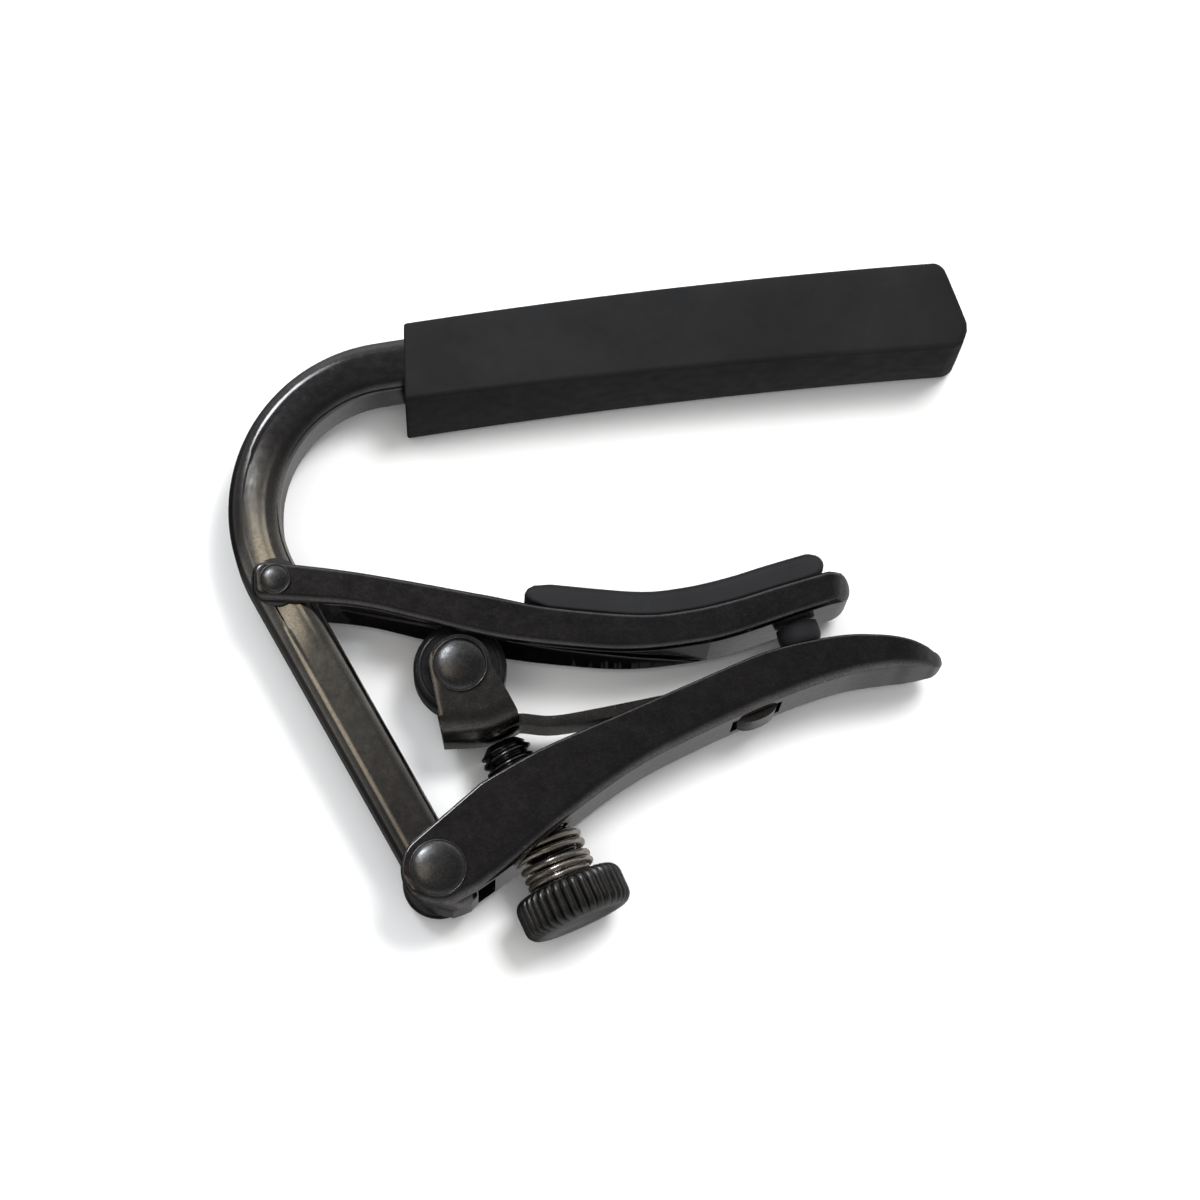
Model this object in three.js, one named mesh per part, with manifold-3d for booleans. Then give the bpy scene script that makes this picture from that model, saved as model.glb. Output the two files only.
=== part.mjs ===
// Guitar capo: a bent bar with a rubber sleeve, a forked lower arm with a pad, and an
// over-centre thumb lever that carries an adjustable roller. Millimetres, +Z up.
// The capo lies on its side: +X runs along the sleeve, +Y from the lever to the sleeve.
// Shapes are drawn in the plane of the capo, with z = 0 half-way through its thickness,
// and the whole is then moved so that the origin is the middle of its underside.
import * as THREE from 'three';
import { mergeVertices } from 'three/addons/utils/BufferGeometryUtils.js';
import Module from 'manifold-3d';

const wasm = await Module();
wasm.setup();

// ---- driving dimensions ----------------------------------------------------------
const ARM_PIVOT = new THREE.Vector2(-34.4, 1.9);
const LEVER_PIVOT = new THREE.Vector2(-16.9, -28.9);
const ROLLER_CENTRE = new THREE.Vector2(-14.8, -6.9);
const SLOT_CENTRE = new THREE.Vector2(16.9, -11.55); // on the lever's outer face

const GAP = 0.3; // between pieces that touch or slide on the real capo
const SIDE_GAP = 0.1; // the same between flat faces square to Z

const BAR_HALF = 4.0; // half of the bar's width, along Z
const BAR_THICK = 5.7;
const BAR_EDGE = 1.2; // rounding of the bar's long edges
const BEND_RADIUS = 15.7; // of the bar's centre line
const BEND_START = -0.9; // where the bend starts, from the arm pivot along the shank
const ARCH_RADIUS = 722; // the slight arch of bar and sleeve
const ARCH_ANGLE = THREE.MathUtils.degToRad(9.8);
const BAR_LENGTH = 60; // of the arched part
const BAR_TAIL = 4.6; // past the lever pivot

const SLEEVE_START = 3.1; // along the arched part
const SLEEVE_LENGTH = 60.6;
const SLEEVE_HALF = 6.3;
const SLEEVE_TOP = 3.85; // above the bar's centre line
const SLEEVE_BOTTOM = -6.35;
const SLEEVE_END_SLANT = 1.7;
const SLEEVE_TOP_ROUND = 2.2;
const SLEEVE_LOW_ROUND = 0.9;

const CHANNEL_HALF = 4.55; // half of the room between the side walls of arm and lever
const ARM_HALF = 5.6;
const ARM_EDGE = 0.7;
const ARM_TIP = 27.1; // x of the tip, seen from above
const ARM_NOSE = 3.2; // length of the rounded part of the tip
const CLEVIS_END = 6.6; // from the arm pivot to the bottom of the slot
const GROOVE_ROOF = 2.2; // of metal over the roller's groove
const PAD_HALF = 4.7;
const PAD_THICK = 2.75;
const PAD_EDGE = 0.7;
const BUMPER_RADIUS = 2.35;
const BUMPER_HEIGHT = 2.35;
const BUMPER_FOOT = new THREE.Vector2(21.9, -3.85); // middle of its lower face
const BUMPER_LEAN = THREE.MathUtils.degToRad(18);

const LEVER_HALF = 6.0;
const LEVER_EDGE = 0.5;
const LEVER_END_RADIUS = 3.9;
const LEVER_TIP = 36.8;
const LEVER_NOSE = 6.5;
const WEB_THICK = 1.7;
const SLOT_LENGTH = 5.3;
const OUT_OF_SLOT = new THREE.Vector2(0.4, -0.92).normalize();

const SHEET = 1.2; // sheet metal of the roller bracket
const FORK_HALF = 4.2;
const TAIL_HALF = 2.65;
const ROLLER_RADIUS = 4.98;
const ROLLER_HALF = 2.5;
const ROLLER_EDGE = 0.5;
const ROLLER_BORE = 2.3;
const BUSHING_RADIUS = 2.1;

const RIVETS = {
  arm: { centre: ARM_PIVOT, shank: 1.2, head: 1.65, height: 0.6 },
  lever: { centre: LEVER_PIVOT, shank: 2, head: 3.02, height: 0.8 },
  roller: { centre: ROLLER_CENTRE, shank: 1.6, head: 2.95, height: 0.9 },
};
const WASHERS = {
  arm: { centre: ARM_PIVOT, inner: 1.5, outer: 2.6 },
  lever: { centre: LEVER_PIVOT, inner: 2.3, outer: 3.6 },
  roller: { centre: ROLLER_CENTRE, inner: 1.9, outer: 3 },
};

const SCREW_AXIS = new THREE.Vector2(0.41, -0.91).normalize(); // from its tip to its knob
const SCREW_TIP = new THREE.Vector2(-10.45, -14.35);
const SCREW_LENGTH = 16.3;
const SCREW_RADIUS = 2.8;
const PITCH = 1;
const THREAD_DEPTH = 0.55;
const KNOB_RADIUS = 6;
const KNOB_LENGTH = 4.6;
const KNOB_RIDGES = 36;
const KNOB_EDGE = 1;
const RIDGE_DEPTH = 0.35;
const SPRING_RADIUS = 3.45; // of its centre line
const SPRING_WIRE = 0.38;
const SPRING_TURNS = 4;
const SPRING_SEAT = 11; // from the screw's tip to the bottom of the spring's recess
const BOSS_START = 7.6; // from the screw's tip to the threaded boss inside the lever
const BOSS_HALF = 4.9;
const BEYOND = 10; // makes a cutter longer than what it cuts

// ---- materials -------------------------------------------------------------------
const blackChrome = () => new THREE.MeshStandardMaterial({ color: 0x35312f, roughness: 0.22, metalness: 1 });
const satinBlack = () => new THREE.MeshStandardMaterial({ color: 0x2b2a2a, roughness: 0.42, metalness: 1 });
const rubber = () => new THREE.MeshStandardMaterial({ color: 0x222325, roughness: 0.85, metalness: 0 });
const bronze = () => new THREE.MeshStandardMaterial({ color: 0x8f8576, roughness: 0.3, metalness: 1 });
const nylon = () => new THREE.MeshStandardMaterial({ color: 0x3a3a3c, roughness: 0.6, metalness: 0 });

// ---- solids ----------------------------------------------------------------------
function closedMesh(geometry) {
  const plain = geometry.clone();
  plain.deleteAttribute('normal');
  plain.deleteAttribute('uv');
  const merged = mergeVertices(plain, 1e-4);
  const index = merged.index.array;
  const corners = [];
  for (let i = 0; i < index.length; i += 3) {
    const [a, b, c] = index.slice(i, i + 3);
    if (a !== b && b !== c && c !== a) corners.push(a, b, c);
  }
  return { positions: merged.attributes.position.array, corners };
}

function signedVolume({ positions, corners }) {
  const [a, b, c] = [new THREE.Vector3(), new THREE.Vector3(), new THREE.Vector3()];
  let volume = 0;
  for (let i = 0; i < corners.length; i += 3) {
    a.fromArray(positions, 3 * corners[i]);
    b.fromArray(positions, 3 * corners[i + 1]);
    c.fromArray(positions, 3 * corners[i + 2]);
    volume += a.dot(b.cross(c)) / 6;
  }
  return volume;
}

function solid(geometry) {
  const mesh = closedMesh(geometry);
  if (signedVolume(mesh) < 0) mesh.corners.reverse();
  return new wasm.Manifold(
    new wasm.Mesh({
      numProp: 3,
      vertProperties: new Float32Array(mesh.positions),
      triVerts: new Uint32Array(mesh.corners),
    }),
  );
}

function geometryOf(manifold) {
  const mesh = manifold.getMesh();
  const geometry = new THREE.BufferGeometry();
  geometry.setAttribute('position', new THREE.BufferAttribute(new Float32Array(mesh.vertProperties), 3));
  geometry.setIndex(new THREE.BufferAttribute(new Uint32Array(mesh.triVerts), 1));
  geometry.computeVertexNormals();
  return geometry;
}

function piece(name, shape, material) {
  const body = shape.isBufferGeometry ? solid(shape) : shape;
  const mesh = new THREE.Mesh(geometryOf(body), material);
  mesh.name = name;
  return mesh;
}

// A flat outline made solid from z = low to z = high, its rims rounded by `edge`.
function plate(shape, low, high, edge = 0, curveSegments = 6) {
  const geometry = new THREE.ExtrudeGeometry(shape, {
    depth: high - low - 2 * edge,
    curveSegments,
    bevelEnabled: edge > 0,
    bevelSize: edge,
    bevelOffset: -edge,
    bevelThickness: edge,
    bevelSegments: 2,
  });
  return geometry.translate(0, 0, low + edge);
}

const between = (shape, low, high, edge, curveSegments) => solid(plate(shape, low, high, edge, curveSegments));
const bothSides = (shape, half, edge, curveSegments) => between(shape, -half, half, edge, curveSegments);

// The hole that a rivet's shank needs, as a solid through the part's height.
function boreFor({ shank, centre }) {
  const geometry = new THREE.CylinderGeometry(shank + GAP, shank + GAP, 2 * BEYOND, 24);
  return solid(geometry.rotateX(Math.PI / 2).translate(centre.x, centre.y, 0));
}

function polygon(points) {
  return new THREE.Shape(points.map(([x, y]) => new THREE.Vector2(x, y)));
}

// A rectangle in the plane, turned so that its long axis leaves `from` in direction `along`.
function strip(from, along, start, end, low, high) {
  const up = new THREE.Vector2(-along.y, along.x);
  const corners = [[start, low], [end, low], [end, high], [start, high]];
  return new THREE.Shape(
    corners.map(([a, b]) => from.clone().addScaledVector(along, a).addScaledVector(up, b)),
  );
}

// The points of a line, each moved sideways by `distance` to the left of its travel.
function besideLine(points, distance) {
  return points.map((point, i) => {
    const before = points[Math.max(i - 1, 0)];
    const after = points[Math.min(i + 1, points.length - 1)];
    const travel = after.clone().sub(before).normalize();
    return point.clone().add(new THREE.Vector2(-travel.y, travel.x).multiplyScalar(distance));
  });
}

const vectors = (points) => points.map(([x, y]) => new THREE.Vector2(x, y));
const curveThrough = (points, steps) => new THREE.SplineCurve(points).getPoints(steps);

// ---- the bar's centre line ---------------------------------------------------------
const SHANK = LEVER_PIVOT.clone().sub(ARM_PIVOT).normalize();
const SHANK_RIGHT = new THREE.Vector2(-SHANK.y, SHANK.x);
const BEND_CENTRE = ARM_PIVOT.clone()
  .addScaledVector(SHANK_RIGHT, BEND_RADIUS)
  .addScaledVector(SHANK, BEND_START);
const ARCH_NORMAL = new THREE.Vector2(-Math.sin(ARCH_ANGLE), Math.cos(ARCH_ANGLE));
const ARCH_FIRST = BEND_CENTRE.clone().addScaledVector(ARCH_NORMAL, BEND_RADIUS);
const ARCH_CENTRE = ARCH_FIRST.clone().addScaledVector(ARCH_NORMAL, -ARCH_RADIUS);

// The point of the arched part `distance` along it and `height` above its centre line.
function onArch(distance, height) {
  const angle = Math.PI / 2 + ARCH_ANGLE - distance / ARCH_RADIUS;
  const radius = ARCH_RADIUS + height;
  return new THREE.Vector2(
    ARCH_CENTRE.x + radius * Math.cos(angle),
    ARCH_CENTRE.y + radius * Math.sin(angle),
  );
}

function archLine(start, end, height, steps) {
  return Array.from({ length: steps + 1 }, (_, i) => onArch(start + ((end - start) * i) / steps, height));
}

function bendLine(offset, steps) {
  const first = SHANK_RIGHT.angle() + Math.PI;
  const last = ARCH_NORMAL.angle();
  return Array.from({ length: steps + 1 }, (_, i) => {
    const angle = first + ((last - first) * i) / steps;
    const radius = BEND_RADIUS + offset;
    return new THREE.Vector2(
      BEND_CENTRE.x + radius * Math.cos(angle),
      BEND_CENTRE.y + radius * Math.sin(angle),
    );
  });
}

function barOutline(grow) {
  const half = BAR_THICK / 2 + grow;
  const tail = (along, across) =>
    LEVER_PIVOT.clone().addScaledVector(SHANK, along).addScaledVector(SHANK_RIGHT, across);
  const outer = [...bendLine(half, 20), ...archLine(1, BAR_LENGTH - 1, half, 10)];
  const inner = [...archLine(BAR_LENGTH - 1, 1, -half, 10), ...bendLine(-half, 20).reverse()];
  const nose = [onArch(BAR_LENGTH, half - 1), onArch(BAR_LENGTH, 1 - half)];
  const foot = [
    tail(BAR_TAIL - 1.2, half),
    tail(BAR_TAIL - 0.3, half - 0.4),
    tail(BAR_TAIL, half - 1.4),
    tail(BAR_TAIL - 0.2, -0.6),
    tail(BAR_TAIL - 1.3, -half + 1),
    tail(BAR_TAIL - 3, -half),
  ];
  return new THREE.Shape([...outer, ...nose, ...inner, ...foot]);
}

function mainBar() {
  return bothSides(barOutline(0), BAR_HALF, BAR_EDGE)
    .subtract(boreFor(RIVETS.arm))
    .subtract(boreFor(RIVETS.lever));
}

// ---- rubber sleeve -----------------------------------------------------------------
class Arch extends THREE.Curve {
  getPoint(t, target = new THREE.Vector3()) {
    const point = onArch(SLEEVE_START - 4 + t * (SLEEVE_LENGTH + 8), 0);
    return target.set(point.x, point.y, 0);
  }
}

function sleeveSection() {
  const shape = new THREE.Shape();
  const [w, top, bottom] = [SLEEVE_HALF, SLEEVE_TOP, SLEEVE_BOTTOM];
  const [round, sharp] = [SLEEVE_TOP_ROUND, SLEEVE_LOW_ROUND];
  shape.moveTo(-w + sharp, bottom);
  shape.lineTo(w - sharp, bottom);
  shape.absarc(w - sharp, bottom + sharp, sharp, -Math.PI / 2, 0);
  shape.absarc(w - round, top - round, round, 0, Math.PI / 2);
  shape.absarc(-w + round, top - round, round, Math.PI / 2, Math.PI);
  shape.absarc(-w + sharp, bottom + sharp, sharp, Math.PI, 1.5 * Math.PI);
  return shape;
}

function sleeveSide() {
  const end = SLEEVE_START + SLEEVE_LENGTH;
  const beyond = 2;
  return new THREE.Shape([
    onArch(SLEEVE_START + 0.4, SLEEVE_TOP + beyond),
    onArch(SLEEVE_START - 1, SLEEVE_BOTTOM - beyond),
    onArch(end - 1.5, SLEEVE_BOTTOM - beyond),
    onArch(end, SLEEVE_BOTTOM + 1.4),
    onArch(end + 0.1, SLEEVE_BOTTOM + 2.6),
    onArch(end - SLEEVE_END_SLANT, SLEEVE_TOP - 0.9),
    onArch(end - SLEEVE_END_SLANT - 2, SLEEVE_TOP + beyond),
  ]);
}

function stringSleeve() {
  const tube = new THREE.ExtrudeGeometry(sleeveSection(), {
    steps: 10,
    curveSegments: 3,
    extrudePath: new Arch(),
  });
  return solid(tube)
    .intersect(bothSides(sleeveSide(), SLEEVE_HALF + 1))
    .subtract(bothSides(barOutline(GAP), BAR_HALF + SIDE_GAP, BAR_EDGE));
}

// ---- lower arm ---------------------------------------------------------------------
const ARM_TOP = vectors([
  [-35.6, 3.9], [-26, 2.85], [-12.5, 0.5], [-5.5, -0.8], [3.8, -1.55],
  [9, -1.1], [14, 0.05], [19, 1.65], [24.3, 3.25],
]);
const ARM_BOTTOM = vectors([
  [25.5, 0], [21.5, -1.3], [14, -3.9], [9, -4.95], [3.8, -5.5],
  [-1.5, -5.35], [-10.5, -4.35], [-19, -2.35], [-26, -0.85], [-35.6, -0.2],
]);
// Where the roller's groove rises out of the arm's underside.
const GROOVE_RUNOUT = vectors([[-0.5, -3.65], [3.8, -4.05], [7.4, -4.25], [10, -4.4], [12.6, -4.5]]);

function armSide() {
  const shape = new THREE.Shape(curveThrough(ARM_TOP, 28));
  shape.absarc(25.1, 1.65, 1.7, 1.35, -1.1, true);
  curveThrough(ARM_BOTTOM, 28).forEach((point) => shape.lineTo(point.x, point.y));
  shape.absarc(-35.6, 1.05, 1.25, -Math.PI / 2, -Math.PI, true);
  shape.absarc(-35.6, 2.65, 1.25, Math.PI, Math.PI / 2, true);
  return shape;
}

// Seen from above, an outline with a rounded tip, as a solid through the part's height.
function tipPlan(tip, half, nose) {
  const shape = new THREE.Shape();
  shape.moveTo(-60, -half);
  shape.lineTo(tip - nose, -half);
  shape.absellipse(tip - nose, 0, nose, half, -Math.PI / 2, Math.PI / 2);
  shape.lineTo(-60, half);
  const geometry = plate(shape, -50, 50, 0, 12);
  return solid(geometry.rotateX(Math.PI / 2));
}

function lowerArm() {
  const along = new THREE.Vector2(1, -0.14).normalize();
  const clevis = strip(ARM_PIVOT, along, -8, CLEVIS_END, -8, 8);
  const roof = [...besideLine(ARM_TOP.slice(1, 4), -GROOVE_ROOF), ...GROOVE_RUNOUT];
  const groove = new THREE.Shape([
    new THREE.Vector2(-30, -BEYOND),
    new THREE.Vector2(-30, roof[0].y + 0.5),
    ...curveThrough(roof, 16),
    new THREE.Vector2(roof.at(-1).x, -BEYOND),
  ]);
  return bothSides(armSide(), ARM_HALF, ARM_EDGE)
    .intersect(tipPlan(ARM_TIP, ARM_HALF + 0.01, ARM_NOSE))
    .subtract(bothSides(clevis, CHANNEL_HALF))
    .subtract(bothSides(groove, CHANNEL_HALF))
    .subtract(boreFor(RIVETS.arm));
}

function saddlePad() {
  const seat = besideLine(curveThrough(ARM_TOP.slice(3), 24), GAP);
  const crown = besideLine(curveThrough(ARM_TOP.slice(3), 24), PAD_THICK);
  const inside = (point) => point.x > -6.2 && point.x < 22.4;
  const shape = new THREE.Shape();
  shape.moveTo(-7.2, -0.1);
  seat.filter(inside).forEach((point) => shape.lineTo(point.x, point.y));
  shape.lineTo(23.4, 3.45);
  shape.lineTo(24, 3.75);
  shape.lineTo(23.7, 4.9);
  shape.lineTo(22.7, 5.35);
  crown.filter(inside).reverse().forEach((point) => shape.lineTo(point.x, point.y));
  shape.lineTo(-7.4, 1.5);
  shape.lineTo(-8, 0.8);
  return bothSides(shape, PAD_HALF, PAD_EDGE);
}

function bumper() {
  const [r, height, edge] = [BUMPER_RADIUS, BUMPER_HEIGHT, 0.5];
  const profile = vectors([[0, 0], [r - edge, 0], [r, edge], [r, height], [0, height]]);
  const geometry = new THREE.LatheGeometry(profile, 24);
  return solid(geometry.rotateZ(BUMPER_LEAN).translate(BUMPER_FOOT.x, BUMPER_FOOT.y, 0));
}

// ---- lever -------------------------------------------------------------------------
const LEVER_TOP = vectors([
  [-12.5, -19.8], [-6, -16.05], [3, -12], [11, -8.4], [16, -6.2], [20, -4.9], [25.5, -3.8],
  [30.5, -4.0], [34, -4.95], [38, -5.9],
]);
const LEVER_BOTTOM = vectors([
  [38, -7.6], [35, -7.0], [31, -7.2], [26, -8.1], [19, -10.6], [10.5, -14.5], [3.5, -18.3],
  [-3.5, -23.5], [-9, -28.3], [-12.6, -31],
]);

function leverSide() {
  const shape = new THREE.Shape();
  shape.absarc(LEVER_PIVOT.x, LEVER_PIVOT.y, LEVER_END_RADIUS, -1.05, 2.32, true);
  curveThrough(LEVER_TOP, 32).forEach((point) => shape.lineTo(point.x, point.y));
  curveThrough(LEVER_BOTTOM, 32).forEach((point) => shape.lineTo(point.x, point.y));
  return shape;
}

function leverChannel() {
  const floor = curveThrough(besideLine(LEVER_BOTTOM, -WEB_THICK), 32);
  const inside = floor.filter((point) => point.x < 19.8 && point.x > -9.8);
  return new THREE.Shape([
    new THREE.Vector2(18.9, 0),
    new THREE.Vector2(19.3, -8.2),
    ...inside,
    new THREE.Vector2(-11.2, -30.4),
    new THREE.Vector2(-13, -36),
    new THREE.Vector2(-26, -36),
    new THREE.Vector2(-26, 0),
  ]);
}

// A cylinder round the screw's axis, from `start` to `end` as measured from its tip.
function aroundScrew(radius, start, end) {
  const geometry = new THREE.CylinderGeometry(radius, radius, end - start, 32);
  return solid(alongScrew(geometry.translate(0, (end - start) / 2, 0), start));
}

function leverBody() {
  const outside = bothSides(leverSide(), LEVER_HALF, LEVER_EDGE)
    .intersect(tipPlan(LEVER_TIP, LEVER_HALF + 0.01, LEVER_NOSE));
  const channel = bothSides(leverChannel(), CHANNEL_HALF);
  const boss = bothSides(strip(SCREW_TIP, SCREW_AXIS, BOSS_START, 16, -BOSS_HALF, BOSS_HALF), 5);
  const slot = strip(SLOT_CENTRE, OUT_OF_SLOT, -2.5, 2, -SLOT_LENGTH / 2, SLOT_LENGTH / 2);
  return outside
    .subtract(channel.subtract(boss))
    .subtract(bothSides(slot, TAIL_HALF + GAP))
    .subtract(aroundScrew(SCREW_RADIUS + GAP, 0, 20))
    .subtract(aroundScrew(SPRING_RADIUS + SPRING_WIRE + GAP, SPRING_SEAT, 20))
    .subtract(boreFor(RIVETS.lever));
}

// ---- roller bracket ----------------------------------------------------------------
const ALONG_SLOT = new THREE.Vector2(-OUT_OF_SLOT.y, OUT_OF_SLOT.x);
const BASE_LINE = vectors([[-16.4, -14.25], [-11.9, -13.9], [-8.5, -12.45]]);
const TAIL_LINE = [
  ...vectors([[-11.9, -13.9], [-8.5, -12.45], [-5, -12.65], [0, -11.8], [9.5, -9.8]]),
  ...[[-4.2, -4], [-2.6, -3.7], [-1.5, -1.9], [-0.9, 0], [0, 0.3], [0.9, 0], [1.6, -1.2], [2.1, -2.6]].map(
    ([along, out]) =>
      SLOT_CENTRE.clone().addScaledVector(ALONG_SLOT, along).addScaledVector(OUT_OF_SLOT, out),
  ),
];

function bracketStrip(points, half, thickness) {
  const upper = besideLine(points, thickness / 2);
  const lower = besideLine(points, -thickness / 2);
  return bothSides(new THREE.Shape([...upper, ...lower.reverse()]), half);
}

function cheekShape() {
  const shape = new THREE.Shape();
  shape.moveTo(-16.3, -14.4);
  shape.lineTo(-11.9, -14);
  shape.lineTo(-8.5, -12.6);
  shape.lineTo(-8.5, -11.9);
  shape.lineTo(-11.4, -6.6);
  shape.absarc(ROLLER_CENTRE.x, ROLLER_CENTRE.y, 3.3, 0.1, Math.PI, false);
  shape.lineTo(-17, -12);
  return shape;
}

function rollerBracket() {
  const cheek = (low) => between(cheekShape(), low, low + SHEET);
  const base = bracketStrip(BASE_LINE, FORK_HALF, SHEET);
  const tail = bracketStrip(curveThrough(TAIL_LINE, 60), TAIL_HALF, SHEET);
  const fork = base.add(cheek(-FORK_HALF)).add(cheek(FORK_HALF - SHEET));
  return fork.add(tail).subtract(boreFor(RIVETS.roller));
}

// ---- turned pieces -----------------------------------------------------------------
function ringAt({ centre, inner, outer }, low, high) {
  const profile = vectors([[inner, low], [outer, low], [outer, high], [inner, high], [inner, low]]);
  const geometry = new THREE.LatheGeometry(profile, 24);
  return geometry.rotateX(Math.PI / 2).translate(centre.x, centre.y, 0);
}

// A rivet with a domed head at each end; its heads sit `grip` from the middle.
function rivet({ centre, shank, head, height }, grip) {
  const rim = 0.25;
  const dome = [];
  for (const degrees of [30, 60, 90]) {
    const angle = THREE.MathUtils.degToRad(degrees);
    dome.push([head * Math.sin(angle), grip + rim + (height - rim) * Math.cos(angle)]);
  }
  const upper = [[0, grip + height], ...dome, [head, grip], [shank, grip]];
  const lower = upper.map(([r, z]) => [r, -z]).reverse();
  const geometry = new THREE.LatheGeometry(vectors([...upper, ...lower]), 24);
  return geometry.rotateX(Math.PI / 2).translate(centre.x, centre.y, 0);
}

function roller() {
  const [r, w, edge, bore] = [ROLLER_RADIUS, ROLLER_HALF, ROLLER_EDGE, ROLLER_BORE];
  const profile = vectors([
    [bore, -w], [r - edge, -w], [r, edge - w], [r, w - edge], [r - edge, w], [bore, w], [bore, -w],
  ]);
  const geometry = new THREE.LatheGeometry(profile, 48);
  return geometry.rotateX(Math.PI / 2).translate(ROLLER_CENTRE.x, ROLLER_CENTRE.y, 0);
}

// ---- adjusting screw ---------------------------------------------------------------
// Turns a shape made along +Y, from 0, to lie along the screw with 0 at `distance` from its tip.
function alongScrew(geometry, distance) {
  const start = SCREW_TIP.clone().addScaledVector(SCREW_AXIS, distance);
  geometry.rotateZ(SCREW_AXIS.angle() - Math.PI / 2);
  return geometry.translate(start.x, start.y, 0);
}

function adjustingScrew() {
  const root = SCREW_RADIUS - THREAD_DEPTH;
  const profile = [[0, 0], [1.2, 0.15], [root, 0.7]];
  for (let y = 1; y < SCREW_LENGTH - 1; y += PITCH) {
    profile.push([SCREW_RADIUS, y + 0.4 * PITCH], [root, y + 0.9 * PITCH]);
  }
  profile.push([root, SCREW_LENGTH], [0, SCREW_LENGTH]);
  return alongScrew(new THREE.LatheGeometry(vectors(profile), 20), 0);
}

function screwKnob() {
  const outline = [];
  for (let i = 0; i < 2 * KNOB_RIDGES; i += 1) {
    const angle = (Math.PI * i) / KNOB_RIDGES;
    const radius = KNOB_RADIUS - (i % 2 ? RIDGE_DEPTH : 0);
    outline.push(new THREE.Vector2(radius * Math.cos(angle), radius * Math.sin(angle)));
  }
  const shape = new THREE.Shape(outline);
  const geometry = plate(shape, 0, KNOB_LENGTH, KNOB_EDGE).rotateX(-Math.PI / 2);
  return alongScrew(geometry, SCREW_LENGTH + GAP);
}

class Coil extends THREE.Curve {
  constructor(length) {
    super();
    this.length = length;
  }

  getPoint(t, target = new THREE.Vector3()) {
    const angle = 2 * Math.PI * SPRING_TURNS * t;
    return target.set(SPRING_RADIUS * Math.cos(angle), this.length * t, SPRING_RADIUS * Math.sin(angle));
  }
}

function screwSpring() {
  const wire = new THREE.Shape();
  wire.absarc(0, 0, SPRING_WIRE, 0, 2 * Math.PI);
  const length = SCREW_LENGTH - SPRING_SEAT - 2 * GAP - 2 * SPRING_WIRE;
  const geometry = new THREE.ExtrudeGeometry(wire, {
    steps: 14 * SPRING_TURNS,
    curveSegments: 3,
    extrudePath: new Coil(length),
  });
  return alongScrew(geometry, SPRING_SEAT + GAP + SPRING_WIRE);
}

// ---- the whole capo ----------------------------------------------------------------
const BUSHING = { centre: ROLLER_CENTRE, inner: RIVETS.roller.shank + 0.2, outer: BUSHING_RADIUS };
const BESIDE_BAR = [BAR_HALF + SIDE_GAP, CHANNEL_HALF - SIDE_GAP];
const BESIDE_ROLLER = [ROLLER_HALF + SIDE_GAP, FORK_HALF - SHEET - SIDE_GAP];

function washers(name, low, high) {
  return [
    piece(`${name}_washer_near`, ringAt(WASHERS[name], low, high), nylon()),
    piece(`${name}_washer_far`, ringAt(WASHERS[name], -high, -low), nylon()),
  ];
}

const plan = new THREE.Group();
plan.add(
  piece('main_bar', mainBar(), blackChrome()),
  piece('string_sleeve', stringSleeve(), rubber()),
  piece('lower_arm', lowerArm(), blackChrome()),
  piece('saddle_pad', saddlePad(), rubber()),
  piece('bumper', bumper(), rubber()),
  piece('arm_rivet', rivet(RIVETS.arm, ARM_HALF + SIDE_GAP), satinBlack()),
  piece('lever', leverBody(), blackChrome()),
  piece('lever_rivet', rivet(RIVETS.lever, LEVER_HALF + SIDE_GAP), satinBlack()),
  piece('roller_bracket', rollerBracket(), blackChrome()),
  piece('roller', roller(), nylon()),
  piece('roller_bushing', ringAt(BUSHING, -ROLLER_HALF, ROLLER_HALF), bronze()),
  piece('roller_rivet', rivet(RIVETS.roller, FORK_HALF + SIDE_GAP), satinBlack()),
  ...washers('arm', ...BESIDE_BAR),
  ...washers('lever', ...BESIDE_BAR),
  ...washers('roller', ...BESIDE_ROLLER),
  piece('adjusting_screw', adjustingScrew(), blackChrome()),
  piece('screw_knob', screwKnob(), satinBlack()),
  piece('screw_spring', screwSpring(), bronze()),
);

const box = new THREE.Box3().setFromObject(plan);
plan.position.set(-(box.min.x + box.max.x) / 2, -(box.min.y + box.max.y) / 2, -box.min.z);

const capo = new THREE.Group();
capo.add(plan);
capo.updateMatrixWorld(true);

export default capo;
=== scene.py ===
import math

import bmesh
import bpy
import numpy as np
from mathutils import Matrix, Vector


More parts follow.
